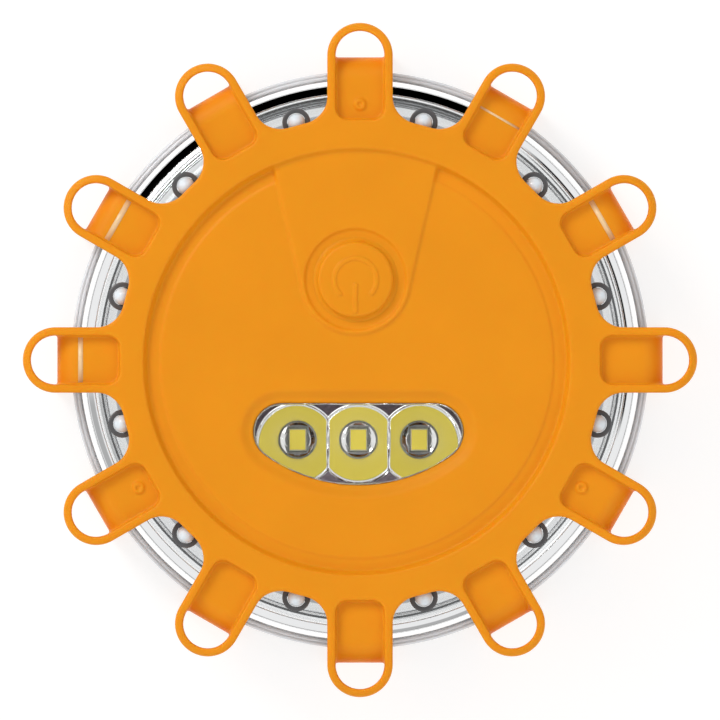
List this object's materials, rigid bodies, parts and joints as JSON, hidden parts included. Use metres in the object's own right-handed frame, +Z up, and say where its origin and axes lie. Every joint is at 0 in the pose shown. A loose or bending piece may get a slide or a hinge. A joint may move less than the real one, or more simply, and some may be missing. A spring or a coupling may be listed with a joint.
{
  "type": "led safety flare",
  "caption": "Round magnetic LED road flare: clear puck in a soft orange cover with looped bumper arms, a power button, a lamp window and a fold-out hook.",
  "frame": {"origin": "on the surface that the flare lies on, under the middle of its round body", "axes": "+Z up out of the face with the button and the lamp window, +Y from the middle towards the power button, +X to the right seen from above"},
  "size_m": [0.105, 0.105, 0.0323],
  "materials": {
    "orange_rubber": "soft matt orange rubber",
    "orange_button": "soft matt orange rubber",
    "clear_front": "clear polished plastic",
    "clear_rear": "clear polished plastic",
    "collar_black": "satin",
    "chrome_trim": "vacuum-metallised plastic",
    "back_black": "fine texture",
    "seal_rubber": "black rubber",
    "chrome_tray": "vacuum-metallised plastic",
    "chrome_lamp": "vacuum-metallised plastic",
    "led_resin": "tinted clear resin",
    "steel_leads": "tinned",
    "led_package": "white",
    "phosphor": "yellow phosphor",
    "board_green": "green solder mask",
    "chip_black": "black epoxy",
    "resistor_black": "black",
    "capacitor_can": "aluminium can",
    "switch_black": "black",
    "stem_white": "white",
    "plunger_white": "white",
    "cell_jacket": "printed jacket",
    "contact_nickel": "nickel plated",
    "spring_steel": "nickel plated",
    "door_black": "fine texture",
    "insert_brass": "knurled",
    "screw_steel": "zinc plated",
    "cup_nickel": "nickel plated",
    "ferrite": "ground ferrite",
    "hook_black": "fine texture",
    "pin_steel": "polished"
  },
  "bodies": {
    "housing": {"rubber_cover": "orange_rubber", "bumper_arms": "orange_rubber", "switch_seal": "seal_rubber", "tact_switch_body": "switch_black", "front_shell": "clear_front", "rear_shell": "clear_rear", "back_plate": "back_black", "o_ring": "seal_rubber", "housing_screws": "screw_steel", "board_screws": "screw_steel", "door_gasket": "seal_rubber", "brass_inserts": "insert_brass", "hook_pin": "pin_steel", "aaa_cell_1": "cell_jacket", "aaa_cell_2": "cell_jacket", "aaa_cell_3": "cell_jacket", "battery_contacts": "contact_nickel", "battery_springs": "spring_steel", "main_pcb": "board_green", "side_leds": "led_resin", "side_led_leads": "steel_leads", "reflector_ring": "chrome_tray", "dome_collars": "collar_black", "trim_ring": "chrome_trim", "flashlight_reflector": "chrome_lamp", "flashlight_leds": "led_package", "led_phosphors": "phosphor", "controller_chip": "chip_black", "led_driver_transistors": "chip_black", "smd_resistors": "resistor_black", "capacitor": "capacitor_can"},
    "power_button": {"button_cap": "orange_button", "switch_plunger": "plunger_white", "tact_switch_stem": "stem_white"},
    "battery_door": {"battery_door": "door_black", "door_screws": "screw_steel", "magnet_cup": "cup_nickel", "magnet": "ferrite", "magnet_screw": "screw_steel"},
    "hook": {"hook": "hook_black"}
  },
  "joints": [
    {"name": "button_press", "type": "slide", "parent": "housing", "child": "power_button", "axis": [0, 0, -1], "range_m": [0, 0.0008], "stiffness_N_per_m": 2500},
    {"name": "door_removal", "type": "slide", "parent": "housing", "child": "battery_door", "axis": [0, 0, -1], "range_m": [0, 0.025]},
    {"name": "hook_pivot", "type": "hinge", "parent": "housing", "child": "hook", "pos_m": [0, 0.0186, 0.0031], "axis": [-1, 0, 0], "range_deg": [0, 90]}
  ]
}
